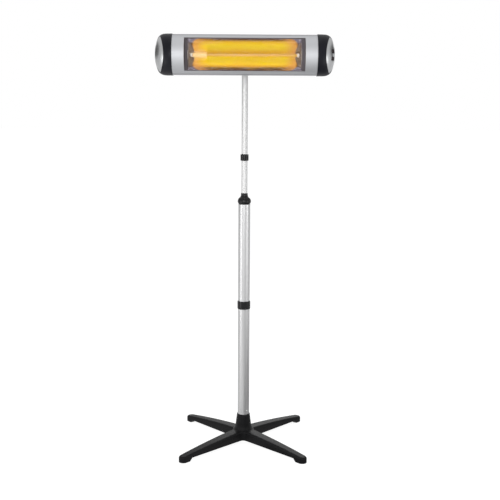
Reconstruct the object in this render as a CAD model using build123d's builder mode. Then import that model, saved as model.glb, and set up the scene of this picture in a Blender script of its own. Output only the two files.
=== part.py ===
from build123d import *
import os
from math import cos, radians, sin, sqrt

# Free-standing infrared heater: a lamp head that tilts on a two-stage mast over a moulded
# four-legged base. Millimetres. Origin on the floor under the mast, +Z up, the head lies
# along X and its lamp faces -Y.

# ---------------------------------------------------------------- fits
joint_gap = 0.15        # radial gap of tubes and spigots that are pushed together for good
slide_gap = 0.3         # gap of faces that slide or turn past each other
seat_gap = 0.3          # gap round a trim piece in its recess
edge_rounding = 1       # small rounding of turned and moulded edges
cut_margin = 1          # how far a cutting outline stands clear of what it cuts

# ---------------------------------------------------------------- mast tubes
outer_tube_diameter = 50
outer_tube_wall = 1.5
outer_tube_top = 1046
inner_tube_diameter = 25
inner_tube_wall = 1.5
mast_overlap = 246      # how far the inner mast reaches down into the outer one

# ---------------------------------------------------------------- base
leg_count = 4
leg_first_angle = 45
leg_reach = 346.5       # mast axis to the centre of a leg's round end
leg_root_width = 55
leg_tip_width = 38.4
leg_root_height = 59    # top of the legs at the mast axis
leg_middle_height = 47.5  # top of the legs half way out
leg_tip_height = 26.5   # top of the legs at their ends
skirt_root_height = 17  # underside of the legs at the hub
skirt_tip_height = 16   # underside of the legs before the foot
foot_length = 38
foot_heel = 12          # slope from the foot up to the leg's underside
crotch_radius = 18      # corner between two legs
leg_edge_radius = 8     # rounding along the top of the legs
base_wall = 3.5
rib_thickness = 2.5
rib_pitch = 56
socket_top = 127
socket_shoulder = 84    # where the socket starts to flare into the legs
socket_wall = 2.8       # wall round the mast at the socket's top
socket_draft = 5.4      # how much wider the socket is at its shoulder
socket_rounding = 1.2
socket_flare = 12
socket_sink = 2         # how far the flare runs down into the legs
socket_floor = 27       # floor that the mast stands on
pad_height = 3
pad_diameter = 30
pad_inset = 3           # pad's centre from the centre of the leg's round end
pad_stem_diameter = 9
pad_stem_length = 9
base_bolt_diameter = 8
base_bolt_grip = 26     # length of thread in the plug
base_washer_diameter = 34
base_washer_thickness = 2
hex_head_width = 13     # across flats, for the 8 mm bolts
hex_head_height = 5.5

# ---------------------------------------------------------------- outer mast
outer_ring_bottom = 595.5
outer_ring_height = 35
outer_ring_step = 3     # how far the ring stands out from the tube
coupler_wall = 4
coupler_spigot = 36
ring_edge_radius = 2
tube_plug_wall = 7.5
tube_plug_floor = 32.5  # solid foot of the plug, round the bolt
plug_screw_rise = 18    # screw above the socket's top
plug_screw_margin = 15  # plug's top above the screw
plug_screw_angle = -54
plug_screw_diameter = 4
plug_screw_head = 7.5
plug_screw_head_height = 2

# ---------------------------------------------------------------- height lock
bush_flange_height = 1.7
bush_flange_setback = 0.5
bush_spigot = 36
bush_room = 3           # radial room between the bush's bore and the inner mast
bush_nose_wall = 2.5
bush_nose_length = 20.3
collet_lead = 8         # collet's foot above the outer mast's top
collet_wall = 2
collet_wedge_wall = 4   # wall of the wedge at its foot
collet_taper = 10       # slope of the collet's wedge from upright, in degrees
collet_slit = 2.5
lock_height = 45
lock_neck_wall = 2      # neck's radius beyond the inner mast
lock_neck_height = 7
lock_shoulder_wall = 11.8
lock_shoulder_height = 22.5
lock_skirt_wall = 3     # skirt's radius beyond the outer mast
lock_skirt_height = 12
lock_foot_setback = 1.2 # foot's radius inside the outer mast's
lock_foot_bulge = 1.7
lock_crown_height = 14.7  # solid neck above the collet
lock_bell_flare = 0.1   # slope of the bell where it meets the skirt
flute_count = 6
flute_radius = 9.5
flute_setback = 1.3     # flute's axis outside the skirt
flute_rise = 27         # flute's round end above the ring's foot
rim_scallop_radius = 15
rim_scallop_depth = 1.6
rim_scallop_reach = 9

# ---------------------------------------------------------------- inner mast
inner_ring_bottom = 1229
inner_ring_height = 27
inner_ring_step = 4.6
guide_height = 40
guide_floor = 3

# ---------------------------------------------------------------- head bracket
head_height = 1654      # height of the lamp and of the tilt axis
tilt_axis_y = -52
cup_drop = 54           # cup's top below the tilt axis
cup_height = 20
cup_wall = 3
cup_rounding = 2.5
tube_in_cup = 16
tongue_front = -8
tongue_width = 26
tongue_depth = 14
tongue_rise = 18        # tongue's top above the tilt axis
tongue_rounding = 2
strap_thickness = 2.5
strap_height = 30
mast_strap_half_width = 22.5
tilt_spacer_wall = 2.5
tilt_washer_thickness = 1
tilt_washer_diameter = 26
tilt_bolt_diameter = 8
strap_screw_spacing = 16
strap_screw_diameter = 5
screw_head_diameter = 9.5
screw_head_height = 3
screw_tail = 1          # thread that shows past a nut
nut_width = 8
slot_bolt_head = 10
nut_height = 4
knob_radius = 19
knob_height = 15
knob_end = 4            # closed end of the knob, past the bolt
knob_boss_radius = 10
knob_boss_height = 5
knob_lobes = 6
knob_dip_radius = 7
knob_dip_setback = 3.5  # dip's axis outside the knob
knob_lobe_rounding = 2
knob_edge_rounding = 1.5

# ---------------------------------------------------------------- head housing
body_length = 572
body_half_height = 79
front_flatness = 3      # front curve's radius beyond the half height
body_depth = 112
bracket_reach = 32      # tilt axis to the housing's back
body_corner = 19
housing_wall = 2
cover_thickness = 1.5
lip_height = 4          # lips above and below the cover
ledge_thickness = 2
window_margin = 48      # cover beside the window
window_rim = 15         # body's edge to the window's edge
window_corner = 2
shelf_depth = 51        # front of the body to the rib that holds the glass seal
shelf_thickness = 2
hook_overlap = 3        # hold of the hooked rib on the reflector's flange
hook_room = 0.6         # room for the flange behind the shelf
rail_height = 8         # slotted rail on the back for the bracket
rail_width = 24
slot_mouth = 7
slot_width = 13.6
slot_depth = 4.2
fin_count = 5
fin_pitch = 7
fin_height = 2
fin_width = 2.4
port_inset = 6          # screw port's axis to the housing's back
port_drop = 27          # screw port's axis to the housing's top or bottom
port_diameter = 10
port_bore = 3.6

# ---------------------------------------------------------------- end caps
cap_length = 70
cap_proud = 2           # how far the caps stand proud of the body
cap_wall = 4.5
cap_back_draw = 16
cap_sections = 8
cap_last_angle = 81.9   # where the round of the cap ends in a small flat
cap_fullness = 5        # how square the caps look from the front
cap_roundness = 0.45
disc_start = 32.5       # body's end to the disc's inner edge, half way up
disc_end_start = 48     # the same at the disc's upper and lower ends
disc_half_height = 70
disc_back = 63          # front of the body to the disc's outer edge, half way up
disc_end_back = 57      # the same at the disc's upper and lower ends
disc_thickness = 2
disc_corner = 6
cap_screw_diameter = 3.5
cap_screw_head = 7
cap_screw_head_height = 2.1
cap_screw_length = 40
cap_post_diameter = 12
tab_length = 12
tab_thickness = 2
tab_width = 22

# ---------------------------------------------------------------- switches
switch_angle = 62       # direction that the switches face, from the front
switch_spacing = 28
switch_land_depth = 2.6
switch_land_thickness = 3
switch_land_width = 25
switch_land_height = 50
switch_flange_width = 21
switch_flange_height = 15
switch_flange_thickness = 2
switch_body_width = 18.6
switch_body_height = 12.8
switch_body_depth = 14
rocker_pocket_width = 16
rocker_pocket_height = 10.6
rocker_pocket_depth = 7
rocker_radius = 7.5
rocker_height = 10
rocker_rise = 3
rocker_dip = 1.4
rocker_keel = 3.2
rocker_pivot_below_face = 1
rocker_throw = 9        # lean of a rocker to either side

# ---------------------------------------------------------------- lamp chamber
glass_thickness = 4
seal_side_cover = 12    # seal beyond the window at its ends
seal_rim_cover = 3      # seal beyond the window above and below
seal_side_border = 6    # seal beyond the glass at its ends
seal_rim_border = 2.5   # seal beyond the glass above and below
seal_lip = 2.25
cheek_thickness = 1.5
cheek_return = 11
cheek_setback = 2
reflector_thickness = 1
reflector_setback = 12  # window's end to the reflector's end
mouth_setback = 3       # window's edge to the reflector's mouth
reflector_flange = 11
fold_setback = 14       # mouth's edge to the fold
fold_depth = 8
reflector_depth = 45
bowl_middle = 30
bowl_middle_depth = 34
end_plate_run = 22      # slant of the end plates along the head
end_plate_setback = 3
lamp_depth = 23         # reflector's flange to the lamp's axis
lamp_end_room = 30      # window's end to the end of the quartz tube
lamp_tube_diameter = 12
lamp_tube_wall = 1
filament_left_gap = 62  # end of the quartz tube to the filament, on the sleeve's side
filament_right_gap = 11
filament_diameter = 3
sleeve_diameter = 18
sleeve_gap = 2
sleeve_length = 54
lamp_end_diameter = 16
lamp_end_length = 24
lamp_tongue_thickness = 5.3
lamp_tongue_width = 14.4
lamp_tongue_length = 8
holder_length = 22
holder_height = 34
holder_depth = 26
holder_gap = 14         # end of the quartz tube to the holder
holder_rounding = 3
bracket_thickness = 2
bracket_overhang = 10

# ---------------------------------------------------------------- wiring
gland_inset = 81        # body's end to the gland's axis
gland_drop = 34         # gland's axis below the lamp's
gland_hex = 20
gland_room = 3          # flat ring round the gland, clear of the fins
gland_nut_height = 9
gland_nut_setback = 1
gland_taper = 12
gland_bore = 7.5
gland_thread = 15.6
gland_inside = 9
gland_locknut_height = 4
block_inset = 24        # body's end to the middle of the terminal block
block_length = 34
block_height = 16
block_depth = 14
block_ways = 3
block_screw_radius = 2.8
block_screw_depth = 4.7
tip_switch_size = 18
tip_switch_depth = 14.4
tip_switch_plate = 25.2

# ---------------------------------------------------------------- what follows from them
outer_bore = outer_tube_diameter - 2 * outer_tube_wall
inner_bore = inner_tube_diameter - 2 * inner_tube_wall
inner_tube_bottom = outer_tube_top - mast_overlap
socket_top_radius = outer_tube_diameter / 2 + socket_wall
socket_root_radius = socket_top_radius + socket_draft
hub_core_radius = socket_root_radius + base_wall
outer_ring_diameter = outer_tube_diameter + 2 * outer_ring_step
outer_ring_top = outer_ring_bottom + outer_ring_height
inner_ring_diameter = inner_tube_diameter + 2 * inner_ring_step
inner_ring_top = inner_ring_bottom + inner_ring_height
plug_screw_height = socket_top + plug_screw_rise
cup_top = head_height - cup_drop
cup_bottom = cup_top - cup_height
inner_tube_top = cup_bottom + tube_in_cup
tongue_top = head_height + tongue_rise
body_half = body_length / 2
body_back = tilt_axis_y - bracket_reach
front_apex = body_back - body_depth
front_radius = body_half_height + front_flatness
arc_centre_y = front_apex + front_radius
body_sagitta = front_radius - sqrt(front_radius**2 - body_half_height**2)
lip_half_height = body_half_height - lip_height
cover_half_height = lip_half_height - seat_gap
window_half_length = body_half - window_margin
window_half_height = body_half_height - window_rim
seal_half_length = window_half_length + seal_side_cover
seal_half_height = window_half_height + seal_rim_cover
glass_half_length = seal_half_length - seal_side_border
glass_half_height = seal_half_height - seal_rim_border
reflector_half_length = window_half_length - reflector_setback
reflector_mouth = window_half_height - mouth_setback
shelf_front = front_apex + shelf_depth
glass_front = shelf_front - seal_lip - glass_thickness
seal_front = glass_front - seal_lip
flange_front = shelf_front + shelf_thickness
hook_front = flange_front + reflector_thickness + hook_room
hook_reach = reflector_mouth + reflector_flange - hook_overlap
port_y = body_back - port_inset
port_z = body_half_height - port_drop
lamp_y = flange_front + lamp_depth
lamp_half_length = window_half_length - lamp_end_room
gland_x = body_half - gland_inset
block_x = body_half - block_inset

os.makedirs("parts", exist_ok=True)


def save(part, name):
    """Label a finished piece and write its file."""
    part.label = name
    export_step(part, f"parts/{name}.step")


def ring_bar(outer, inner, bottom, top):
    """Upright round tube between two heights."""
    with BuildPart() as bar:
        with BuildSketch(Plane.XY.offset(bottom)):
            Circle(outer / 2)
            Circle(inner / 2, mode=Mode.SUBTRACT)
        extrude(amount=top - bottom)
    return bar.part


# ================================================================ base
# The legs are the plan outline of a four-armed star, cut by a body of revolution whose
# section is the arch of one leg; the mast socket flares into them.
leg_end_radius = leg_tip_width / 2
leg_outer_reach = leg_reach + leg_end_radius
foot_start = leg_outer_reach - foot_length

with BuildSketch() as leg_plan:
    Circle(leg_root_width / 2)
    with Locations((leg_reach, 0)):
        Circle(leg_end_radius)
    make_hull()

with BuildSketch() as star_plan:
    with PolarLocations(0, leg_count, start_angle=leg_first_angle):
        add(leg_plan.sketch)
    crotches = star_plan.vertices().sort_by_distance((0, 0))[:leg_count]
    fillet(crotches, radius=crotch_radius)

with BuildPart() as arch_body:
    with BuildSketch(Plane.XZ):
        with BuildLine():
            ThreePointArc(
                (0, leg_root_height),
                (leg_outer_reach / 2, leg_middle_height),
                (leg_outer_reach + cut_margin, leg_tip_height),
            )
            Polyline(
                (leg_outer_reach + cut_margin, leg_tip_height),
                (leg_outer_reach + cut_margin, pad_height),
                (foot_start, pad_height),
                (foot_start - foot_heel, skirt_tip_height),
                (hub_core_radius, skirt_root_height),
                (0, skirt_root_height),
                (0, leg_root_height),
            )
        make_face()
    revolve(axis=Axis.Z)

with BuildPart() as star:
    add(star_plan.sketch)
    extrude(amount=leg_root_height)
    add(arch_body.part, mode=Mode.INTERSECT)
    top_face = star.faces().sort_by(Axis.Z)[-1]
    fillet(top_face.edges(), radius=leg_edge_radius)

with BuildSketch() as cavity_plan:
    add(star_plan.sketch)
    offset(amount=-base_wall)
    Circle(hub_core_radius, mode=Mode.SUBTRACT)
    rib_rows = int((foot_start - hub_core_radius) / rib_pitch)
    with PolarLocations(0, leg_count, start_angle=leg_first_angle):
        Rectangle(
            leg_outer_reach, rib_thickness, align=(Align.MIN, Align.CENTER), mode=Mode.SUBTRACT
        )
    for row in range(1, rib_rows + 1):
        with PolarLocations(hub_core_radius + row * rib_pitch, leg_count, start_angle=leg_first_angle):
            Rectangle(rib_thickness, leg_root_width, mode=Mode.SUBTRACT)

with BuildPart() as cavity_arch:
    with BuildSketch(Plane.XZ):
        with BuildLine():
            ThreePointArc(
                (0, leg_root_height - base_wall),
                (leg_outer_reach / 2, leg_middle_height - base_wall),
                (leg_outer_reach + cut_margin, leg_tip_height - base_wall),
            )
            Polyline(
                (leg_outer_reach + cut_margin, leg_tip_height - base_wall),
                (leg_outer_reach + cut_margin, 0),
                (0, 0),
                (0, leg_root_height - base_wall),
            )
        make_face()
        with Locations((foot_start - 2 * base_wall, 0)):
            Rectangle(
                leg_outer_reach, 2 * leg_root_height,
                align=(Align.MIN, Align.CENTER), mode=Mode.SUBTRACT,
            )
    revolve(axis=Axis.Z)

with BuildPart() as leg_cavities:
    add(cavity_plan.sketch)
    extrude(amount=leg_root_height)
    add(cavity_arch.part, mode=Mode.INTERSECT)

with BuildPart() as socket:
    with BuildSketch(Plane.XZ):
        with BuildLine():
            Polyline(
                (0, skirt_root_height),
                (0, socket_top),
                (socket_top_radius, socket_top),
                (socket_root_radius, socket_shoulder),
            )
            EllipticalCenterArc(
                (socket_root_radius + socket_flare, socket_shoulder),
                socket_flare,
                socket_shoulder - leg_root_height + socket_sink,
                start_angle=180,
                arc_size=90,
            )
            Polyline(
                (socket_root_radius + socket_flare, leg_root_height - socket_sink),
                (socket_root_radius + socket_flare, leg_middle_height),
                (hub_core_radius, skirt_root_height),
                (0, skirt_root_height),
            )
        make_face()
    revolve(axis=Axis.Z)
    top_rim = socket.edges().filter_by(GeomType.CIRCLE).sort_by(Axis.Z)[-1]
    fillet(top_rim, radius=socket_rounding)

with BuildPart() as base_star:
    add(star.part)
    add(socket.part)
    add(leg_cavities.part, mode=Mode.SUBTRACT)
    with BuildSketch(Plane.XY.offset(socket_floor)):
        Circle(outer_tube_diameter / 2 + joint_gap)
    extrude(amount=socket_top, mode=Mode.SUBTRACT)
    with BuildSketch():
        Circle(base_bolt_diameter / 2 + slide_gap)
    extrude(amount=socket_floor, mode=Mode.SUBTRACT)
    with BuildSketch():
        with PolarLocations(leg_reach - pad_inset, leg_count, start_angle=leg_first_angle):
            Circle(pad_stem_diameter / 2)
    extrude(amount=pad_height + pad_stem_length, mode=Mode.SUBTRACT)
save(base_star.part, "base_star")

# Glides pushed into the feet: a flat disc on a stem.
with BuildPart() as foot_pads:
    with BuildSketch():
        with PolarLocations(leg_reach - pad_inset, leg_count, start_angle=leg_first_angle):
            Circle(pad_diameter / 2)
    extrude(amount=pad_height)
    fillet(foot_pads.edges().group_by(Axis.Z)[0], radius=edge_rounding)
    with BuildSketch(Plane.XY.offset(pad_height)):
        with PolarLocations(leg_reach - pad_inset, leg_count, start_angle=leg_first_angle):
            Circle(pad_stem_diameter / 2)
    extrude(amount=pad_stem_length)
save(foot_pads.part, "foot_pads")

# The mast is drawn down into the socket by one bolt from below.
washer_bottom = skirt_root_height - base_washer_thickness
save(
    ring_bar(base_washer_diameter, base_bolt_diameter + 2 * slide_gap, washer_bottom, skirt_root_height),
    "base_washer",
)

with BuildPart() as base_bolt:
    with BuildSketch(Plane.XY.offset(washer_bottom - hex_head_height)):
        RegularPolygon(hex_head_width / 2, 6, major_radius=False)
    extrude(amount=hex_head_height)
    with BuildSketch(Plane.XY.offset(washer_bottom)):
        Circle(base_bolt_diameter / 2)
    extrude(amount=socket_floor + base_bolt_grip - washer_bottom)
save(base_bolt.part, "base_bolt")

# ================================================================ outer mast
with BuildPart() as outer_tube_lower:
    add(ring_bar(outer_tube_diameter, outer_bore, socket_floor, outer_ring_bottom))
    with BuildSketch(Plane.YZ) as screw_hole:
        with Locations((0, plug_screw_height)):
            Circle(plug_screw_diameter / 2)
    hole = extrude(amount=outer_tube_diameter, mode=Mode.PRIVATE)
    add(hole.rotate(Axis.Z, plug_screw_angle), mode=Mode.SUBTRACT)
save(outer_tube_lower.part, "outer_tube_lower")

# Moulded core that stiffens the tube in the socket and takes the bolt.
tube_plug_height = plug_screw_height + plug_screw_margin - socket_floor
tube_plug_bore = outer_bore - 2 * tube_plug_wall
with BuildPart() as tube_plug:
    with BuildSketch(Plane.XY.offset(socket_floor)):
        Circle(outer_bore / 2 - joint_gap)
    extrude(amount=tube_plug_height)
    with BuildSketch(Plane.XY.offset(socket_floor + tube_plug_floor)):
        Circle(tube_plug_bore / 2)
    extrude(amount=tube_plug_height, mode=Mode.SUBTRACT)
    with BuildSketch(Plane.XY.offset(socket_floor)):
        Circle(base_bolt_diameter / 2)
    extrude(amount=base_bolt_grip, mode=Mode.SUBTRACT)
    add(hole.rotate(Axis.Z, plug_screw_angle), mode=Mode.SUBTRACT)
save(tube_plug.part, "tube_plug")

with BuildPart() as plug_screw:
    with BuildSketch(Plane.YZ.offset(outer_tube_diameter / 2)):
        with Locations((0, plug_screw_height)):
            Circle(plug_screw_head / 2)
    extrude(amount=plug_screw_head_height)
    fillet(plug_screw.edges().sort_by(Axis.X)[-1], radius=edge_rounding)
    with BuildSketch(Plane.YZ.offset(tube_plug_bore / 2)):
        with Locations((0, plug_screw_height)):
            Circle(plug_screw_diameter / 2)
    extrude(amount=outer_tube_diameter / 2 - tube_plug_bore / 2)
save(plug_screw.part.rotate(Axis.Z, plug_screw_angle), "plug_screw")


def coupler(ring_bottom, ring_height, ring_diameter, bore, spigot, wall):
    """Joining piece of two tubes: an outer ring and a hollow spigot into each tube."""
    ring_top = ring_bottom + ring_height
    with BuildPart() as piece:
        add(ring_bar(ring_diameter, bore - 2 * wall, ring_bottom, ring_top))
        outer_rims = piece.edges().filter_by(GeomType.CIRCLE).group_by(SortBy.RADIUS)[-1]
        fillet(outer_rims, radius=ring_edge_radius)
        add(ring_bar(bore - 2 * joint_gap, bore - 2 * wall, ring_bottom - spigot, ring_bottom))
        add(ring_bar(bore - 2 * joint_gap, bore - 2 * wall, ring_top, ring_top + spigot))
    return piece.part


save(
    coupler(outer_ring_bottom, outer_ring_height, outer_ring_diameter, outer_bore,
            coupler_spigot, coupler_wall),
    "outer_coupler",
)
save(ring_bar(outer_tube_diameter, outer_bore, outer_ring_top, outer_tube_top), "outer_tube_upper")

# ================================================================ height lock
# A threaded bush closes the outer mast. The bell-shaped ring screws down on it and wedges
# a slit collet round the inner mast.
bush_flange_top = outer_tube_top + bush_flange_height
bush_nose_top = bush_flange_top + bush_nose_length
bush_bore = inner_tube_diameter + 2 * bush_room
bush_nose_diameter = bush_bore + 2 * bush_nose_wall
bush_flange_diameter = outer_tube_diameter - 2 * bush_flange_setback
with BuildPart() as clamp_bush:
    add(ring_bar(outer_bore - 2 * joint_gap, bush_bore, outer_tube_top - bush_spigot, outer_tube_top))
    add(ring_bar(bush_flange_diameter, bush_bore, outer_tube_top, bush_flange_top))
    add(ring_bar(bush_nose_diameter, bush_bore, bush_flange_top, bush_nose_top))
save(clamp_bush.part, "clamp_bush")

lock_bottom = bush_flange_top + slide_gap
lock_top = lock_bottom + lock_height
collet_bore = inner_tube_diameter + 2 * slide_gap
collet_head_diameter = inner_tube_diameter + 2 * collet_wedge_wall
collet_bottom = outer_tube_top + collet_lead
collet_top = lock_top - lock_crown_height - slide_gap
wedge_bottom = bush_nose_top + slide_gap
wedge_height = collet_top - wedge_bottom
with BuildPart() as split_collet:
    add(ring_bar(collet_bore + 2 * collet_wall, collet_bore, collet_bottom, collet_top))
    with BuildSketch(Plane.XY.offset(wedge_bottom)):
        Circle(collet_head_diameter / 2)
    extrude(amount=wedge_height, taper=collet_taper)
    with BuildSketch(Plane.XY.offset(collet_bottom)):
        Circle(collet_bore / 2)
    extrude(amount=collet_top - collet_bottom, mode=Mode.SUBTRACT)
    with BuildSketch(Plane.XY.offset(collet_bottom)):
        Rectangle(collet_slit, collet_head_diameter, align=(Align.CENTER, Align.MIN))
    extrude(amount=collet_top, mode=Mode.SUBTRACT)
save(split_collet.part, "split_collet")

lock_foot_radius = outer_tube_diameter / 2 - lock_foot_setback
lock_skirt_radius = outer_tube_diameter / 2 + lock_skirt_wall
lock_skirt_top = lock_bottom + lock_skirt_height
lock_round_radius = (lock_skirt_radius + lock_foot_radius) / 2 + lock_foot_bulge
lock_shoulder_radius = inner_tube_diameter / 2 + lock_shoulder_wall
lock_neck_radius = inner_tube_diameter / 2 + lock_neck_wall
lock_neck_bottom = lock_top - lock_neck_height
flute_bottom = lock_bottom + flute_rise
flute_distance = lock_skirt_radius + flute_setback
with BuildPart() as lock_ring:
    with BuildSketch(Plane.XZ):
        with BuildLine():
            Polyline((0, lock_bottom), (0, lock_top), (lock_neck_radius, lock_top))
            Line((lock_neck_radius, lock_top), (lock_neck_radius, lock_neck_bottom))
            Spline(
                (lock_neck_radius, lock_neck_bottom),
                (lock_shoulder_radius, lock_bottom + lock_shoulder_height),
                (lock_skirt_radius, lock_skirt_top),
                tangents=[(0, -1), (lock_bell_flare, -1)],
            )
            ThreePointArc(
                (lock_skirt_radius, lock_skirt_top),
                (lock_round_radius, (lock_skirt_top + lock_bottom) / 2),
                (lock_foot_radius, lock_bottom),
            )
            Line((lock_foot_radius, lock_bottom), (0, lock_bottom))
        make_face()
    revolve(axis=Axis.Z)
    top_rim = lock_ring.edges().filter_by(GeomType.CIRCLE).sort_by(Axis.Z)[-1]
    fillet(top_rim, radius=edge_rounding)
    with BuildSketch(Plane.XY.offset(bush_flange_top)):
        Circle(bush_nose_diameter / 2 + slide_gap)
    extrude(amount=bush_nose_top + slide_gap - bush_flange_top, mode=Mode.SUBTRACT)
    with BuildSketch(Plane.XY.offset(wedge_bottom)):
        Circle(collet_head_diameter / 2 + 2 * slide_gap)
    extrude(amount=wedge_height + slide_gap, taper=collet_taper, mode=Mode.SUBTRACT)
    with BuildSketch(Plane.XY.offset(lock_bottom)):
        Circle(collet_bore / 2)
    extrude(amount=lock_top, mode=Mode.SUBTRACT)
    # finger flutes in the shoulder
    with PolarLocations(flute_distance, flute_count, start_angle=-90):
        with Locations((0, 0, flute_bottom)):
            Sphere(flute_radius, mode=Mode.SUBTRACT)
            Cylinder(
                flute_radius, lock_top - flute_bottom,
                align=(Align.CENTER, Align.CENTER, Align.MIN), mode=Mode.SUBTRACT,
            )
    # shallow scallops in the rim, between the flutes
    scallop_axis = lock_bottom + rim_scallop_depth - rim_scallop_radius
    with PolarLocations(lock_foot_radius, flute_count, start_angle=-90 + 180 / flute_count):
        with Locations((0, 0, scallop_axis)):
            Cylinder(rim_scallop_radius, rim_scallop_reach, rotation=(0, 90, 0), mode=Mode.SUBTRACT)
save(lock_ring.part, "lock_ring")

# ================================================================ inner mast
save(ring_bar(inner_tube_diameter, inner_bore, inner_tube_bottom, inner_ring_bottom), "inner_tube_lower")
save(
    coupler(inner_ring_bottom, inner_ring_height, inner_ring_diameter, inner_bore,
            coupler_spigot, coupler_wall),
    "inner_coupler",
)
save(ring_bar(inner_tube_diameter, inner_bore, inner_ring_top, inner_tube_top), "inner_tube_upper")

# Guide on the foot of the inner mast, running in the bore of the outer one.
with BuildPart() as guide_bush:
    with BuildSketch(Plane.XY.offset(inner_tube_bottom - guide_floor)):
        Circle(outer_bore / 2 - slide_gap)
    extrude(amount=guide_height)
    with BuildSketch(Plane.XY.offset(inner_tube_bottom)):
        Circle(inner_tube_diameter / 2 + joint_gap)
    extrude(amount=guide_height, mode=Mode.SUBTRACT)
    with BuildSketch(Plane.XY.offset(inner_tube_bottom - guide_floor)):
        Circle(inner_bore / 2)
    extrude(amount=guide_floor, mode=Mode.SUBTRACT)
save(guide_bush.part, "guide_bush")

# Cup on top of the inner mast, with a flat tongue that carries the bracket.
cup_radius = inner_tube_diameter / 2 + cup_wall
with BuildPart() as mast_top_cup:
    with BuildSketch(Plane.XY.offset(cup_bottom)):
        Circle(cup_radius)
    extrude(amount=cup_top - cup_bottom)
    fillet(mast_top_cup.edges().group_by(Axis.Z)[0], radius=cup_rounding)
    with BuildSketch(Plane.XY.offset(cup_top)):
        with Locations((0, tongue_front)):
            Rectangle(tongue_width, tongue_depth, align=(Align.CENTER, Align.MIN))
    extrude(amount=tongue_top - cup_top)
    upright = mast_top_cup.edges().filter_by(Axis.Z).filter_by_position(Axis.Z, cup_top, tongue_top)
    fillet(upright.group_by(Axis.Y)[-1], radius=tongue_rounding)
    with BuildSketch(Plane.XY.offset(cup_bottom)):
        Circle(inner_tube_diameter / 2 + joint_gap)
    extrude(amount=inner_tube_top - cup_bottom, mode=Mode.SUBTRACT)
    with BuildSketch(Plane.XZ.offset(-tongue_front)):
        with Locations((0, head_height)):
            with GridLocations(strap_screw_spacing, 0, 2, 1):
                Circle(strap_screw_diameter / 2 + joint_gap)
    extrude(amount=-tongue_depth, mode=Mode.SUBTRACT)
save(mast_top_cup.part, "mast_top_cup")


def u_strap(half_width, web_y, ear_direction, screw_diameter):
    """Flat steel strap bent to a U: a web with two screw holes, two ears with round ends."""
    ear_length = abs(tilt_axis_y - web_y) + strap_height / 2
    with BuildPart() as strap:
        with BuildSketch(Plane.XY.offset(head_height - strap_height / 2)):
            with Locations((0, web_y)):
                Rectangle(
                    2 * half_width, ear_length,
                    align=(Align.CENTER, Align.MIN if ear_direction > 0 else Align.MAX),
                )
            with Locations((0, web_y + ear_direction * strap_thickness)):
                Rectangle(
                    2 * (half_width - strap_thickness), ear_length,
                    align=(Align.CENTER, Align.MIN if ear_direction > 0 else Align.MAX),
                    mode=Mode.SUBTRACT,
                )
        extrude(amount=strap_height)
        corners = strap.edges().filter_by(Axis.Z).filter_by_position(Axis.Y, web_y - 1e-3, web_y + 1e-3)
        fillet(corners, radius=strap_thickness)
        with BuildSketch(Plane.YZ):
            with Locations((tilt_axis_y, head_height)):
                Circle(strap_height / 2)
                Rectangle(
                    ear_length, strap_height,
                    align=(Align.MAX if ear_direction > 0 else Align.MIN, Align.CENTER),
                )
        extrude(amount=2 * half_width, both=True, mode=Mode.INTERSECT)
        with BuildSketch(Plane.YZ):
            with Locations((tilt_axis_y, head_height)):
                Circle(tilt_bolt_diameter / 2 + joint_gap)
        extrude(amount=2 * half_width, both=True, mode=Mode.SUBTRACT)
        with BuildSketch(Plane.XZ.offset(-web_y)):
            with Locations((0, head_height)):
                with GridLocations(strap_screw_spacing, 0, 2, 1):
                    Circle(screw_diameter / 2 + joint_gap)
        extrude(amount=-ear_direction * strap_thickness, mode=Mode.SUBTRACT)
    return strap.part


save(u_strap(mast_strap_half_width, tongue_front, -1, strap_screw_diameter), "mast_strap")

with BuildPart() as strap_screws:
    with BuildSketch(Plane.XZ.offset(-tongue_front + strap_thickness)):
        with Locations((0, head_height)):
            with GridLocations(strap_screw_spacing, 0, 2, 1):
                Circle(screw_head_diameter / 2)
    extrude(amount=screw_head_height)
    front_rims = strap_screws.edges().group_by(Axis.Y)[0]
    fillet(front_rims, radius=edge_rounding)
    with BuildSketch(Plane.XZ.offset(-tongue_front + strap_thickness)):
        with Locations((0, head_height)):
            with GridLocations(strap_screw_spacing, 0, 2, 1):
                Circle(strap_screw_diameter / 2)
    extrude(amount=-(strap_thickness + tongue_depth + nut_height + screw_tail))
save(strap_screws.part, "strap_screws")

with BuildPart() as strap_nuts:
    with BuildSketch(Plane.XZ.offset(-tongue_front - tongue_depth)):
        with Locations((0, head_height)):
            with GridLocations(strap_screw_spacing, 0, 2, 1):
                RegularPolygon(nut_width / 2, 6, major_radius=False)
                Circle(strap_screw_diameter / 2, mode=Mode.SUBTRACT)
    extrude(amount=-nut_height)
save(strap_nuts.part, "strap_nuts")

# Spacer tube that keeps the two ears apart when the tilt bolt is tightened.
spacer_half = mast_strap_half_width - strap_thickness
with BuildPart() as tilt_spacer:
    with BuildSketch(Plane.YZ.offset(-spacer_half)):
        with Locations((tilt_axis_y, head_height)):
            Circle(tilt_bolt_diameter / 2 + tilt_spacer_wall)
            Circle(tilt_bolt_diameter / 2 + joint_gap, mode=Mode.SUBTRACT)
    extrude(amount=2 * spacer_half)
save(tilt_spacer.part, "tilt_spacer")

# Friction washers between the ears of the two straps.
head_strap_half_width = mast_strap_half_width + tilt_washer_thickness + slide_gap + strap_thickness
with BuildPart() as tilt_washers:
    with BuildSketch(Plane.YZ.offset(mast_strap_half_width)):
        with Locations((tilt_axis_y, head_height)):
            Circle(tilt_washer_diameter / 2)
            Circle(tilt_bolt_diameter / 2 + joint_gap, mode=Mode.SUBTRACT)
    extrude(amount=tilt_washer_thickness)
    mirror(about=Plane.YZ)
save(tilt_washers.part, "tilt_washers")

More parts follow.
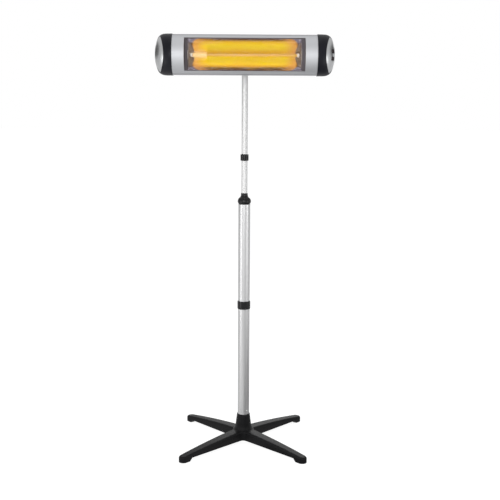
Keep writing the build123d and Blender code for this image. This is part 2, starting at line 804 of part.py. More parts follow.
bolt_right = head_strap_half_width + slide_gap + knob_boss_height + knob_height - knob_end
with BuildPart() as tilt_bolt:
    with BuildSketch(Plane.YZ.offset(-head_strap_half_width - slide_gap - hex_head_height)):
        with Locations((tilt_axis_y, head_height)):
            RegularPolygon(hex_head_width / 2, 6, major_radius=False)
    extrude(amount=hex_head_height)
    with BuildSketch(Plane.YZ.offset(-head_strap_half_width - slide_gap)):
        with Locations((tilt_axis_y, head_height)):
            Circle(tilt_bolt_diameter / 2)
    extrude(amount=head_strap_half_width + slide_gap + bolt_right)
save(tilt_bolt.part, "tilt_bolt")

# Lobed hand knob on the bolt's right end.
knob_left = head_strap_half_width + slide_gap
with BuildPart() as tilt_knob:
    with BuildSketch(Plane.YZ.offset(knob_left)):
        with Locations((tilt_axis_y, head_height)):
            Circle(knob_boss_radius)
    extrude(amount=knob_boss_height)
    with BuildSketch(Plane.YZ.offset(knob_left + knob_boss_height)) as knob_outline:
        with Locations((tilt_axis_y, head_height)):
            Circle(knob_radius)
            with PolarLocations(knob_radius + knob_dip_setback, knob_lobes):
                Circle(knob_dip_radius, mode=Mode.SUBTRACT)
        fillet(knob_outline.vertices(), radius=knob_lobe_rounding)
    extrude(amount=knob_height)
    fillet(tilt_knob.faces().sort_by(Axis.X)[-1].edges(), radius=knob_edge_rounding)
    with BuildSketch(Plane.YZ.offset(knob_left)):
        with Locations((tilt_axis_y, head_height)):
            Circle(tilt_bolt_diameter / 2 + slide_gap)
    extrude(amount=bolt_right - knob_left + slide_gap, mode=Mode.SUBTRACT)
save(tilt_knob.part, "tilt_knob")

# ================================================================ head housing
head_plane = Plane(origin=(0, 0, head_height), x_dir=(0, 1, 0), z_dir=(1, 0, 0))


def at_x(x):
    """Cross-section plane of the head at x: local x is +Y, local y is +Z from the lamp axis."""
    return head_plane.offset(x)


def d_outline(front, sagitta, back, half_height, corner):
    """D-shaped cross-section: an arc in front, flat top and bottom, rounded back corners."""
    with BuildLine() as outline:
        ThreePointArc((front + sagitta, -half_height), (front, 0), (front + sagitta, half_height))
        Polyline(
            (front + sagitta, half_height),
            (back - corner, half_height),
        )
        ThreePointArc(
            (back - corner, half_height),
            (back - corner + corner * sin(radians(45)), half_height - corner + corner * cos(radians(45))),
            (back, half_height - corner),
        )
        Line((back, half_height - corner), (back, corner - half_height))
        ThreePointArc(
            (back, corner - half_height),
            (back - corner + corner * sin(radians(45)), corner - half_height - corner * cos(radians(45))),
            (back - corner, -half_height),
        )
        Line((back - corner, -half_height), (front + sagitta, -half_height))
    make_face(outline.edges())


def front_arc_depth(radius, half_height):
    """Sagitta of the front arc between plus and minus a height."""
    return radius - sqrt(radius**2 - half_height**2)


seat_radius = front_radius - cover_thickness
ledge_radius = seat_radius - ledge_thickness
inner_half_height = body_half_height - housing_wall
inner_back = body_back - housing_wall

with BuildSketch(at_x(-body_half)) as seat_band:
    with Locations((arc_centre_y, 0)):
        Circle(front_radius + cut_margin)
        Circle(seat_radius, mode=Mode.SUBTRACT)
        Rectangle(
            2 * front_radius, 2 * lip_half_height, align=(Align.MAX, Align.CENTER), mode=Mode.INTERSECT
        )

with BuildSketch(at_x(-body_half)) as inner_space:
    d_outline(
        arc_centre_y - ledge_radius,
        front_arc_depth(ledge_radius, inner_half_height),
        inner_back,
        inner_half_height,
        body_corner - housing_wall,
    )

# ribs that hold the seal and the reflector, trimmed by the cover's seat
with BuildSketch(at_x(-body_half)) as ribs:
    for side in (1, -1):
        for rib_front, reach in ((shelf_front, glass_half_height), (hook_front, hook_reach)):
            with Locations((rib_front, side * reach)):
                Rectangle(
                    shelf_thickness, front_radius - reach,
                    align=(Align.MIN, Align.MIN if side > 0 else Align.MAX),
                )
    with Locations((arc_centre_y, 0)):
        Circle(seat_radius, mode=Mode.INTERSECT)

with BuildSketch(at_x(-body_half)) as housing_section:
    d_outline(front_apex, body_sagitta, body_back, body_half_height, body_corner)
    add(seat_band.sketch_local, mode=Mode.SUBTRACT)
    add(inner_space.sketch_local, mode=Mode.SUBTRACT)
    with Locations((arc_centre_y, 0)):
        Rectangle(
            2 * front_radius, 2 * window_half_height, align=(Align.MAX, Align.CENTER), mode=Mode.SUBTRACT
        )
    add(ribs.sketch_local)
    # slotted rail, cooling fins and screw ports on the back
    with Locations((body_back - housing_wall / 2, 0)):
        Rectangle(rail_height + housing_wall / 2, rail_width, align=(Align.MIN, Align.CENTER))
    with Locations((body_back + rail_height, 0)):
        Rectangle(rail_height, slot_mouth, align=(Align.MAX, Align.CENTER), mode=Mode.SUBTRACT)
    with Locations((body_back, 0)):
        Rectangle(slot_depth, slot_width, align=(Align.MIN, Align.CENTER), mode=Mode.SUBTRACT)
    for side in (1, -1):
        for row in range(fin_count):
            fin_z = side * (rail_width / 2 + (row + 1) * fin_pitch)
            with Locations((body_back - housing_wall / 2, fin_z)):
                Rectangle(fin_height + housing_wall / 2, fin_width, align=(Align.MIN, Align.CENTER))
    with Locations((port_y, port_z), (port_y, -port_z)):
        Circle(port_diameter / 2)
        Circle(port_bore / 2, mode=Mode.SUBTRACT)

with BuildPart() as rear_housing:
    extrude(housing_section.sketch, amount=body_length, dir=(1, 0, 0))
    with BuildSketch(Plane.XZ.offset(-inner_back)):
        with Locations((gland_x, head_height - gland_drop)):
            Circle(gland_thread / 2 + joint_gap)
    extrude(amount=-(housing_wall + fin_height + cut_margin), mode=Mode.SUBTRACT)
    with BuildSketch(Plane.XZ.offset(-body_back)):
        with Locations((gland_x, head_height - gland_drop)):
            Circle(gland_hex / 2 + gland_room)
    extrude(amount=-(fin_height + cut_margin), mode=Mode.SUBTRACT)
save(rear_housing.part, "rear_housing")

# Curved front with the window, tucked under the housing's lips.
with BuildPart() as front_cover:
    with BuildSketch(at_x(-body_half)):
        with Locations((arc_centre_y, 0)):
            Circle(front_radius)
            Circle(seat_radius, mode=Mode.SUBTRACT)
            Rectangle(
                2 * front_radius, 2 * cover_half_height,
                align=(Align.MAX, Align.CENTER), mode=Mode.INTERSECT,
            )
    extrude(amount=body_length)
    with BuildSketch(Plane.XZ.offset(-arc_centre_y)) as window:
        with Locations((0, head_height)):
            Rectangle(2 * window_half_length, 2 * window_half_height)
        fillet(window.vertices(), radius=window_corner)
    extrude(amount=2 * front_radius, mode=Mode.SUBTRACT)
save(front_cover.part, "front_cover")

# Cheeks that close the space between the curved cover and the glass at each window end.


def window_cheek():
    """Segment-shaped plate with a return that rests on the seal."""
    with BuildPart() as cheek:
        with BuildSketch(at_x(window_half_length)):
            with Locations((arc_centre_y, 0)):
                Circle(seat_radius - joint_gap)
                Rectangle(
                    2 * front_radius, 2 * (window_half_height - joint_gap),
                    align=(Align.MAX, Align.CENTER), mode=Mode.INTERSECT,
                )
            with Locations((seal_front, 0)):
                Rectangle(
                    2 * front_radius, 2 * front_radius,
                    align=(Align.MIN, Align.CENTER), mode=Mode.SUBTRACT,
                )
        extrude(amount=cheek_thickness)
        with BuildSketch(Plane.XZ.offset(-seal_front)):
            with Locations((window_half_length, head_height)):
                Rectangle(
                    cheek_return, 2 * (window_half_height - cheek_setback),
                    align=(Align.MIN, Align.CENTER),
                )
        extrude(amount=cheek_thickness)
    return cheek.part


save(window_cheek(), "window_cheek_right")
save(window_cheek().mirror(Plane.YZ), "window_cheek_left")

# ================================================================ glass and seal
with BuildPart() as glass_pane:
    with BuildSketch(Plane.XZ.offset(-glass_front)):
        with Locations((0, head_height)):
            Rectangle(2 * glass_half_length, 2 * glass_half_height)
    extrude(amount=-glass_thickness)
save(glass_pane.part, "glass_pane")

with BuildPart() as glass_seal:
    with BuildSketch(Plane.XZ.offset(-seal_front)):
        with Locations((0, head_height)):
            Rectangle(2 * seal_half_length, 2 * seal_half_height)
            Rectangle(2 * reflector_half_length, 2 * reflector_mouth, mode=Mode.SUBTRACT)
    extrude(amount=-(glass_thickness + 2 * seal_lip))
    add(glass_pane.part, mode=Mode.SUBTRACT)
save(glass_seal.part, "glass_seal")

# ================================================================ reflector and lamp
reflector_fold = reflector_mouth - fold_setback
end_plate_outer = reflector_half_length - end_plate_setback
end_plate_inner = end_plate_outer - end_plate_run


def trough_outline(thickness):
    """Trough cross-section behind the flange: a shallow facet, then a rounded bowl."""
    mouth = reflector_mouth + thickness
    fold = reflector_fold + thickness
    depth = reflector_depth + thickness
    middle = bowl_middle + thickness
    middle_depth = bowl_middle_depth + thickness
    with BuildLine() as outline:
        Line((flange_front, mouth), (flange_front + fold_depth, fold))
        Spline(
            (flange_front + fold_depth, fold),
            (flange_front + middle_depth, middle),
            (flange_front + depth, 0),
            (flange_front + middle_depth, -middle),
            (flange_front + fold_depth, -fold),
        )
        Polyline(
            (flange_front + fold_depth, -fold), (flange_front, -mouth), (flange_front, mouth)
        )
    make_face(outline.edges())


with BuildPart() as reflector:
    with BuildSketch(at_x(-reflector_half_length)):
        trough_outline(reflector_thickness)
        for side in (1, -1):
            with Locations((flange_front, side * reflector_mouth)):
                Rectangle(
                    reflector_thickness, reflector_flange,
                    align=(Align.MIN, Align.MIN if side > 0 else Align.MAX),
                )
    extrude(amount=2 * reflector_half_length)
    with BuildSketch(at_x(-reflector_half_length)):
        trough_outline(0)
    extrude(amount=2 * reflector_half_length, mode=Mode.SUBTRACT)
save(reflector.part, "reflector")

# Slanted end plates of the reflector, each with a hole for the lamp's end.
end_slope = Vector(end_plate_run, -reflector_depth, 0).normalized()
end_plane = Plane(
    origin=(end_plate_inner, flange_front + reflector_depth, head_height),
    x_dir=end_slope,
    z_dir=end_slope.cross(Vector(0, 0, 1)) * -1,
)


def reflector_end():
    """Plate that fills the trough along a slanted plane."""
    with BuildPart() as plate:
        with BuildSketch(at_x(end_plate_inner - end_plate_setback)):
            trough_outline(-joint_gap / 2)
        extrude(amount=reflector_half_length - end_plate_inner + end_plate_setback)
        split(bisect_by=end_plane, keep=Keep.TOP)
        split(bisect_by=end_plane.offset(reflector_thickness), keep=Keep.BOTTOM)
        with BuildSketch(at_x(end_plate_inner - 2 * reflector_depth)):
            with Locations((lamp_y, 0)):
                Circle(sleeve_diameter / 2 + slide_gap)
        extrude(amount=4 * reflector_depth, mode=Mode.SUBTRACT)
    return plate.part


save(reflector_end(), "reflector_end_right")
save(reflector_end().mirror(Plane.YZ), "reflector_end_left")


def lamp_bar(outer, inner, left, right):
    """Round bar or tube along the lamp axis."""
    with BuildPart() as bar:
        with BuildSketch(at_x(left)):
            with Locations((lamp_y, 0)):
                Circle(outer / 2)
                if inner:
                    Circle(inner / 2, mode=Mode.SUBTRACT)
        extrude(amount=right - left)
    return bar.part


lamp_bore = lamp_tube_diameter - 2 * lamp_tube_wall
filament_left = filament_left_gap - lamp_half_length
filament_right = lamp_half_length - filament_right_gap
sleeve_start = sleeve_gap - lamp_half_length
sleeve_end = sleeve_start + sleeve_length
holder_start = lamp_half_length + holder_gap
save(lamp_bar(lamp_tube_diameter, lamp_bore, -lamp_half_length, lamp_half_length), "lamp_tube")
save(lamp_bar(filament_diameter, 0, filament_left, filament_right), "filament")
save(lamp_bar(sleeve_diameter, lamp_tube_diameter, sleeve_start, sleeve_end), "lamp_sleeve")


def lamp_end():
    """Ceramic end of the lamp: a round cap with a flat tongue."""
    with BuildPart() as end:
        add(lamp_bar(lamp_end_diameter, 0, lamp_half_length, lamp_half_length + lamp_end_length))
        with BuildSketch(at_x(lamp_half_length + lamp_end_length)):
            with Locations((lamp_y, 0)):
                Rectangle(lamp_tongue_thickness, lamp_tongue_width)
        extrude(amount=lamp_tongue_length)
    return end.part


def lamp_holder():
    """Ceramic block with a bore for the lamp's end and a steel-screwed foot behind."""
    with BuildPart() as holder:
        with BuildSketch(at_x(holder_start)) as block:
            with Locations((lamp_y, 0)):
                Rectangle(holder_depth, holder_height)
            fillet(block.vertices(), radius=holder_rounding)
            with Locations((lamp_y, 0)):
                Circle(lamp_end_diameter / 2 + joint_gap, mode=Mode.SUBTRACT)
        extrude(amount=holder_length)
    return holder.part


def holder_bracket():
    """Sheet bracket from the lamp holder's back to the housing's back wall."""
    holder_back = lamp_y + holder_depth / 2
    bracket_length = holder_length + bracket_overhang
    with BuildPart() as bracket:
        with BuildSketch(Plane.XY.offset(head_height - holder_height / 2)):
            with Locations((holder_start, holder_back)):
                Rectangle(bracket_length, bracket_thickness, align=(Align.MIN, Align.MIN))
            with Locations((holder_start + bracket_length - bracket_thickness, holder_back)):
                Rectangle(bracket_thickness, inner_back - holder_back, align=(Align.MIN, Align.MIN))
        extrude(amount=holder_height)
    return bracket.part


save(lamp_end(), "lamp_end_right")
save(lamp_end().mirror(Plane.YZ), "lamp_end_left")
save(lamp_holder(), "lamp_holder_right")
save(lamp_holder().mirror(Plane.YZ), "lamp_holder_left")
save(holder_bracket(), "holder_bracket_right")
save(holder_bracket().mirror(Plane.YZ), "holder_bracket_left")

# ================================================================ end caps
# Each cap is a loft of D-shaped sections whose front edge runs round a quarter circle in
# plan, so the end turns from the front to the side in one sweep.
cap_front = front_apex - cap_proud
cap_back = body_back + cap_proud
cap_half_height = body_half_height + cap_proud
cap_plan_radius = cap_length + cap_proud
cap_centre_y = cap_front + cap_plan_radius
cap_sagitta_share = body_sagitta / (body_back - front_apex)
cap_corner_share = body_corner / (body_back - front_apex)


def cap_dome(inset):
    """Solid end dome, with its whole surface drawn in by an inset."""
    with BuildPart() as dome:
        for section in range(cap_sections):
            turn = radians(cap_last_angle * section / (cap_sections - 1))
            front = cap_centre_y - (cap_plan_radius - inset) * cos(turn)
            back = cap_back - inset - cap_back_draw * (1 - cos(turn))
            depth = back - front
            half_height = (cap_half_height - inset) * (1 - sin(turn) ** cap_fullness) ** cap_roundness
            with BuildSketch(at_x(body_half + (cap_length - inset) * sin(turn))):
                d_outline(
                    front, cap_sagitta_share * depth, back, half_height,
                    min(cap_corner_share * depth, half_height / 2),
                )
        loft()
    return dome.part


def disc_prism(gap):
    """Where an eye-shaped outline seen from the front meets one seen from the side."""
    side_plane = at_x(body_half)
    inner = body_half + disc_start - gap
    inner_end = body_half + disc_end_start - gap
    outer = front_apex + disc_back + gap
    outer_end = front_apex + disc_end_back + gap
    height = disc_half_height + gap
    top = height + cut_margin
    with BuildPart() as prism:
        with BuildSketch(Plane.XZ.offset(-front_apex + 2 * cap_proud)) as front_view:
            with BuildLine():
                ThreePointArc(
                    (inner_end, head_height - height), (inner, head_height), (inner_end, head_height + height)
                )
                Polyline(
                    (inner_end, head_height + height),
                    (body_half + 2 * cap_length, head_height + height),
                    (body_half + 2 * cap_length, head_height - height),
                    (inner_end, head_height - height),
                )
            make_face()
            fillet(front_view.vertices().group_by(Axis.X)[0], radius=disc_corner)
        extrude(amount=-body_depth)
        with BuildSketch(side_plane) as side_view:
            with BuildLine():
                ThreePointArc((outer_end, -top), (outer, 0), (outer_end, top))
                Polyline(
                    (outer_end, top),
                    (front_apex - body_depth, top),
                    (front_apex - body_depth, -top),
                    (outer_end, -top),
                )
            make_face()
            fillet(side_view.vertices().group_by(Axis.X)[-1], radius=disc_corner)
        extrude(side_view.sketch, amount=2 * cap_length, dir=(1, 0, 0), mode=Mode.INTERSECT)
    return prism.part


outer_dome = cap_dome(0)
seat_dome = cap_dome(disc_thickness)
inner_dome = cap_dome(cap_wall)


def disc_shell():
    """Domed disc, shaped like an eye, that lies in the cap's recess, flush with it."""
    with BuildPart() as shell:
        add(disc_prism(0))
        add(outer_dome, mode=Mode.INTERSECT)
        add(seat_dome, mode=Mode.SUBTRACT)
    return shell.part


def cap_shell():
    """Hollow cap with the disc's recess, two screw posts and two locating tabs."""
    with BuildPart() as recess:
        add(disc_prism(seat_gap))
        add(seat_dome, mode=Mode.SUBTRACT)
    with BuildPart() as posts:
        with BuildSketch(at_x(body_half)):
            with Locations((port_y, port_z), (port_y, -port_z)):
                Circle(cap_post_diameter / 2)
        extrude(amount=cap_length)
        add(outer_dome, mode=Mode.INTERSECT)
    with BuildPart() as shell:
        add(outer_dome)
        add(inner_dome, mode=Mode.SUBTRACT)
        add(posts.part)
        add(recess.part, mode=Mode.SUBTRACT)
        with BuildSketch(at_x(body_half)):
            with Locations((port_y, port_z), (port_y, -port_z)):
                Circle(cap_screw_diameter / 2 + joint_gap)
        extrude(amount=cap_length, mode=Mode.SUBTRACT)
        with BuildSketch(at_x(body_half + cap_screw_length / 2)):
            with Locations((port_y, port_z), (port_y, -port_z)):
                Circle(cap_screw_head / 2 + slide_gap)
        extrude(amount=cap_length, mode=Mode.SUBTRACT)
        with BuildSketch(at_x(body_half - tab_length)):
            for side in (1, -1):
                with Locations((inner_back - body_corner, side * (inner_half_height - joint_gap))):
                    Rectangle(
                        tab_width, tab_thickness,
                        align=(Align.MAX, Align.MAX if side > 0 else Align.MIN),
                    )
        extrude(amount=2 * tab_length)
    return shell.part


switch_turn = radians(switch_angle)
switch_plane = Plane(
    origin=(
        body_half + cap_length * sin(switch_turn),
        cap_centre_y - cap_plan_radius * cos(switch_turn),
        head_height,
    ),
    x_dir=(cos(switch_turn), sin(switch_turn), 0),
    z_dir=(sin(switch_turn), -cos(switch_turn), 0),
)
switch_land_plane = switch_plane.offset(-switch_land_depth)

with BuildPart() as switch_openings:
    with BuildSketch(switch_plane):
        with GridLocations(0, switch_spacing, 1, 2):
            Rectangle(switch_body_width + slide_gap, switch_body_height + slide_gap)
    extrude(amount=-(switch_body_depth + cap_wall))

with BuildPart() as end_disc_right:
    add(disc_shell())
    with BuildSketch(switch_land_plane):
        Rectangle(switch_land_width, switch_land_height)
    extrude(amount=cap_length, mode=Mode.SUBTRACT)
    with BuildSketch(switch_land_plane):
        Rectangle(switch_land_width, switch_land_height)
    extrude(amount=-switch_land_thickness)
    add(outer_dome, mode=Mode.INTERSECT)
    add(switch_openings.part, mode=Mode.SUBTRACT)
save(end_disc_right.part, "end_disc_right")
save(disc_shell().mirror(Plane.YZ), "end_disc_left")

with BuildPart() as end_cap_right:
    add(cap_shell())
    with BuildSketch(switch_plane):
        Rectangle(switch_land_width + 2 * seat_gap, switch_land_height + 2 * seat_gap)
    extrude(amount=-(switch_land_depth + switch_land_thickness + cap_wall), mode=Mode.SUBTRACT)
save(end_cap_right.part, "end_cap_right")
save(cap_shell().mirror(Plane.YZ), "end_cap_left")

# Long screws through the caps into the housing's ports.
with BuildPart() as cap_screws:
    with BuildSketch(at_x(body_half - cap_screw_length / 2)):
        with Locations((port_y, port_z), (port_y, -port_z)):
            Circle(cap_screw_diameter / 2)
    extrude(amount=cap_screw_length)
    with BuildSketch(at_x(body_half + cap_screw_length / 2)):
        with Locations((port_y, port_z), (port_y, -port_z)):
            Circle(cap_screw_head / 2)
    extrude(amount=cap_screw_head_height)
    mirror(about=Plane.YZ)
save(cap_screws.part, "cap_screws")

# ================================================================ switches
def switch_case(offset_z):
    """Snap-in switch: a flange on the land, a body behind it and the rocker's pocket."""
    plane = Plane(switch_land_plane.location * Location((0, offset_z, 0)))
    with BuildPart() as case:
        with BuildSketch(plane) as flange:
            Rectangle(switch_flange_width, switch_flange_height)
            fillet(flange.vertices(), radius=edge_rounding)
        extrude(amount=switch_flange_thickness)
        with BuildSketch(plane):
            Rectangle(switch_body_width, switch_body_height)
        extrude(amount=-switch_body_depth)
        with BuildSketch(plane.offset(switch_flange_thickness)):
            Rectangle(rocker_pocket_width, rocker_pocket_height)
        extrude(amount=-rocker_pocket_depth, mode=Mode.SUBTRACT)
    return case.part


def rocker(offset_z):
    """Rocker that turns on an upright axis: two facets on top, arcs at both ends."""
    plane = Plane(switch_land_plane.location * Location((0, offset_z, 0)))
    pivot = plane.offset(switch_flange_thickness - rocker_pivot_below_face)
    side = Plane(origin=pivot.origin, x_dir=pivot.x_dir, z_dir=pivot.y_dir * -1)
    side = side.rotated((0, 0, rocker_throw))
    with BuildPart() as button:
        with BuildSketch(side):
            Circle(rocker_radius)
            with BuildLine():
                Polyline(
                    (-rocker_radius, rocker_rise),
                    (0, rocker_dip),
                    (rocker_radius, rocker_rise),
                    (rocker_radius, -rocker_keel),
                    (-rocker_radius, -rocker_keel),
                    (-rocker_radius, rocker_rise),
                )
            make_face(mode=Mode.INTERSECT)
        extrude(amount=rocker_height / 2, both=True)
    return button.part


save(switch_case(switch_spacing / 2), "switch_case_upper")
save(switch_case(-switch_spacing / 2), "switch_case_lower")
save(rocker(switch_spacing / 2), "rocker_upper")
save(rocker(-switch_spacing / 2), "rocker_lower")

# ================================================================ head strap
head_strap_web = body_back + rail_height
save(u_strap(head_strap_half_width, head_strap_web, 1, strap_screw_diameter), "head_strap")

# Square-headed bolts in the rail's slot, with nuts on the strap.
slot_floor = body_back + slot_depth
with BuildPart() as slot_bolts:
    with BuildSketch(Plane.XZ.offset(-slot_floor)):
        with Locations((0, head_height)):
            with GridLocations(strap_screw_spacing, 0, 2, 1):
                Rectangle(slot_bolt_head, slot_width - 2 * slide_gap)
    extrude(amount=slot_depth - slide_gap)
    with BuildSketch(Plane.XZ.offset(-slot_floor)):
        with Locations((0, head_height)):
            with GridLocations(strap_screw_spacing, 0, 2, 1):
                Circle(strap_screw_diameter / 2)
    extrude(amount=-(rail_height - slot_depth + strap_thickness + nut_height + screw_tail))
save(slot_bolts.part, "slot_bolts")

with BuildPart() as slot_nuts:
    with BuildSketch(Plane.XZ.offset(-head_strap_web - strap_thickness)):
        with Locations((0, head_height)):
            with GridLocations(strap_screw_spacing, 0, 2, 1):
                RegularPolygon(nut_width / 2, 6, major_radius=False)
                Circle(strap_screw_diameter / 2, mode=Mode.SUBTRACT)
    extrude(amount=-nut_height)
save(slot_nuts.part, "slot_nuts")

# ================================================================ wiring
# Cable gland through the housing's back: body, dome nut outside, lock nut inside.
with BuildPart() as cable_gland:
    with BuildSketch(Plane.XZ.offset(-inner_back + gland_inside)):
        with Locations((gland_x, head_height - gland_drop)):
            Circle(gland_thread / 2)
    extrude(amount=-(gland_inside + housing_wall))
    with BuildSketch(Plane.XZ.offset(-body_back)):
        with Locations((gland_x, head_height - gland_drop)):
            RegularPolygon(gland_hex / 2, 6, major_radius=False)
    extrude(amount=-gland_nut_height / 2)
    with BuildSketch(Plane.XZ.offset(-body_back - gland_nut_height / 2)):
        with Locations((gland_x, head_height - gland_drop)):
            Circle(gland_hex / 2 - gland_nut_setback)
    extrude(amount=-gland_nut_height, taper=gland_taper)
    with BuildSketch(Plane.XZ.offset(-inner_back + gland_inside)):
        with Locations((gland_x, head_height - gland_drop)):
            Circle(gland_bore / 2)
    extrude(amount=-(gland_inside + housing_wall + 2 * gland_nut_height), mode=Mode.SUBTRACT)
save(cable_gland.part, "cable_gland")

with BuildPart() as gland_locknut:
    with BuildSketch(Plane.XZ.offset(-inner_back)):
        with Locations((gland_x, head_height - gland_drop)):
            RegularPolygon(gland_hex / 2, 6, major_radius=False)
            Circle(gland_thread / 2, mode=Mode.SUBTRACT)
    extrude(amount=gland_locknut_height)
save(gland_locknut.part, "gland_locknut")

# Terminal block on the housing's back wall, with a screw over each way.
with BuildPart() as terminal_block:
    with BuildSketch(Plane.XZ.offset(-inner_back)):
        with Locations((block_x, head_height - gland_drop)):
            Rectangle(block_length, block_height)
    extrude(amount=block_depth)
    way_pitch = block_length / block_ways
    with BuildSketch(Plane.XZ.offset(-inner_back + block_depth)):
        with Locations((block_x, head_height - gland_drop)):
            with GridLocations(way_pitch, 0, block_ways, 1):
                Circle(block_screw_radius)
    extrude(amount=-block_screw_depth, mode=Mode.SUBTRACT)
save(terminal_block.part, "terminal_block")

# Switch that cuts the lamp off when the heater falls over: a ball case on a bracket plate.
with BuildPart() as tip_over_switch:
    with BuildSketch(Plane.XZ.offset(-inner_back)):
        with Locations((block_x, head_height + gland_drop)):
            Rectangle(tip_switch_plate, tip_switch_size)
    extrude(amount=bracket_thickness)
    with BuildSketch(Plane.XZ.offset(-inner_back + bracket_thickness)):
        with Locations((block_x, head_height + gland_drop)):
            Rectangle(tip_switch_size, tip_switch_size)
    extrude(amount=tip_switch_depth)
save(tip_over_switch.part, "tip_over_switch")
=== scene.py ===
import math

import bpy
import numpy as np
from mathutils import Matrix, Vector


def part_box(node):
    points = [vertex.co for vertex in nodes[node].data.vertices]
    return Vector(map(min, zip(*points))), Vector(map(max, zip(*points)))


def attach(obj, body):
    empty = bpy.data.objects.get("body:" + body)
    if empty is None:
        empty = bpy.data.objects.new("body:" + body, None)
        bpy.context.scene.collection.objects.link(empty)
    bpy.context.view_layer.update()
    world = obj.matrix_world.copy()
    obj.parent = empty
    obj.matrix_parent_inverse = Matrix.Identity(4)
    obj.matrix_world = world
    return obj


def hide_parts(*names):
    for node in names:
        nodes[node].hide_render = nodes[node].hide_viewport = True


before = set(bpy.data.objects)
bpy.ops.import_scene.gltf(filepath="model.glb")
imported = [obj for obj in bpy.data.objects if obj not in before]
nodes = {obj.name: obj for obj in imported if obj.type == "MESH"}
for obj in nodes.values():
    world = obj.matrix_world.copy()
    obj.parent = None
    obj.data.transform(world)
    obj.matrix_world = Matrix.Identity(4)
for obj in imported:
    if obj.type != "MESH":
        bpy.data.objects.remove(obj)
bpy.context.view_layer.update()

# ---------------------------------------------------------------- camera
# A long lens at chest height, four paces in front of the mast, looking down a little: it
# sees the head from just below and the base from above.
down_degrees = 9.04
lean_degrees = 0.33
lens_camera = bpy.data.cameras.new("camera")
lens_camera.lens = 63.4
lens_camera.sensor_width = 36.0
lens_camera.clip_end = 200.0
camera = bpy.data.objects.new("camera", lens_camera)
bpy.context.scene.collection.objects.link(camera)
bpy.context.scene.camera = camera
camera.location = (0.025, -3.700, 1.439)
look_down = Matrix.Rotation(math.radians(90 - down_degrees), 3, "X")
lean = Matrix.Rotation(math.radians(lean_degrees), 3, "Z")
camera.rotation_euler = (look_down @ lean).to_euler()

# ---------------------------------------------------------------- studio
# Pale floor, a grey room that fills the shadows softly, a soft box in front, one behind and one
# overhead, and a strip to each side. The camera, metal and glass see the room as plain white.
bpy.context.scene.view_settings.view_transform = "Standard"
room_strength = 0.40
floor_lift = 1.46
floor_lift_share = 0.62


def seen_straight(tree):
    """1 for what the camera sees directly, mirrored or through glass, 0 for light that falls."""
    rays = tree.nodes.new("ShaderNodeLightPath")
    either = rays.outputs["Is Camera Ray"]
    for ray in ("Is Glossy Ray", "Is Transmission Ray"):
        most = tree.nodes.new("ShaderNodeMath")
        most.operation = "MAXIMUM"
        tree.links.new(either, most.inputs[0])
        tree.links.new(rays.outputs[ray], most.inputs[1])
        either = most.outputs[0]
    return either


def shown_as(tree, share, lit, plain, surface):
    """Feeds a surface with the lit shader, turning to the plain one as the share goes to 1."""
    pick = tree.nodes.new("ShaderNodeMixShader")
    tree.links.new(share, pick.inputs["Fac"])
    tree.links.new(lit.outputs[0], pick.inputs[1])
    tree.links.new(plain.outputs[0], pick.inputs[2])
    tree.links.new(pick.outputs[0], surface)


def flat_sheet(name, corners, paint):
    """One face over the corners, taken in order round its edge."""
    data = bpy.data.meshes.new(name)
    data.from_pydata(corners, [], [tuple(range(len(corners)))])
    data.materials.append(paint)
    sheet = bpy.data.objects.new(name, data)
    bpy.context.scene.collection.objects.link(sheet)
    return sheet


def grey_card(name, corners, grey):
    """Matt card, out of the camera's sight, that casts no shadow."""
    paint = bpy.data.materials.new(name + "_paint")
    paint.use_nodes = True
    shader = paint.node_tree.nodes["Principled BSDF"]
    shader.inputs["Base Color"].default_value = (grey, grey, grey, 1)
    shader.inputs["Roughness"].default_value = 1.0
    card = flat_sheet(name, corners, paint)
    card.visible_camera = False
    card.visible_shadow = False
    return card


def soft_box(name, place, aim, width, height, watts):
    """Area lamp at a place, turned towards a point."""
    data = bpy.data.lights.new(name, "AREA")
    data.shape = "RECTANGLE"
    data.size = width
    data.size_y = height
    data.energy = watts
    lamp = bpy.data.objects.new(name, data)
    bpy.context.scene.collection.objects.link(lamp)
    lamp.location = place
    lamp.rotation_euler = (Vector(aim) - Vector(place)).to_track_quat("-Z", "Y").to_euler()
    lamp.visible_camera = False


room = bpy.data.worlds.new("room")
bpy.context.scene.world = room
room.use_nodes = True
tree = room.node_tree
tree.nodes.clear()
walls = tree.nodes.new("ShaderNodeBackground")
walls.inputs["Color"].default_value = (0.98, 0.99, 1.0, 1)
walls.inputs["Strength"].default_value = room_strength
white = tree.nodes.new("ShaderNodeBackground")
white.inputs["Color"].default_value = (1, 1, 1, 1)
white.inputs["Strength"].default_value = 1.0
world_out = tree.nodes.new("ShaderNodeOutputWorld")
shown_as(tree, seen_straight(tree), walls, white, world_out.inputs["Surface"])

floor_paint = bpy.data.materials.new("floor_paint")
floor_paint.use_nodes = True
tree = floor_paint.node_tree
tree.nodes.clear()
matt = tree.nodes.new("ShaderNodeBsdfDiffuse")
matt.inputs["Color"].default_value = (0.86, 0.86, 0.86, 1)
lift = tree.nodes.new("ShaderNodeEmission")
lift.inputs["Color"].default_value = (1, 1, 1, 1)
lift.inputs["Strength"].default_value = floor_lift
seen = tree.nodes.new("ShaderNodeMath")
seen.operation = "MULTIPLY"
seen.inputs[1].default_value = floor_lift_share
tree.links.new(seen_straight(tree), seen.inputs[0])
floor_out = tree.nodes.new("ShaderNodeOutputMaterial")
shown_as(tree, seen.outputs[0], matt, lift, floor_out.inputs["Surface"])
flat_sheet("floor", [(-40, -20, 0), (40, -20, 0), (40, 60, 0), (-40, 60, 0)], floor_paint)

# cards beside the head draw darker edges on its silver ovals
for side in (-1, 1):
    near, far, low, high = side * 1.6, side * 1.3, 1.62, 2.2
    corners = [(near, 0.0, low), (far, 1.6, low), (far, 1.6, high), (near, 0.0, high)]
    grey_card("side_card", corners, 0.16)

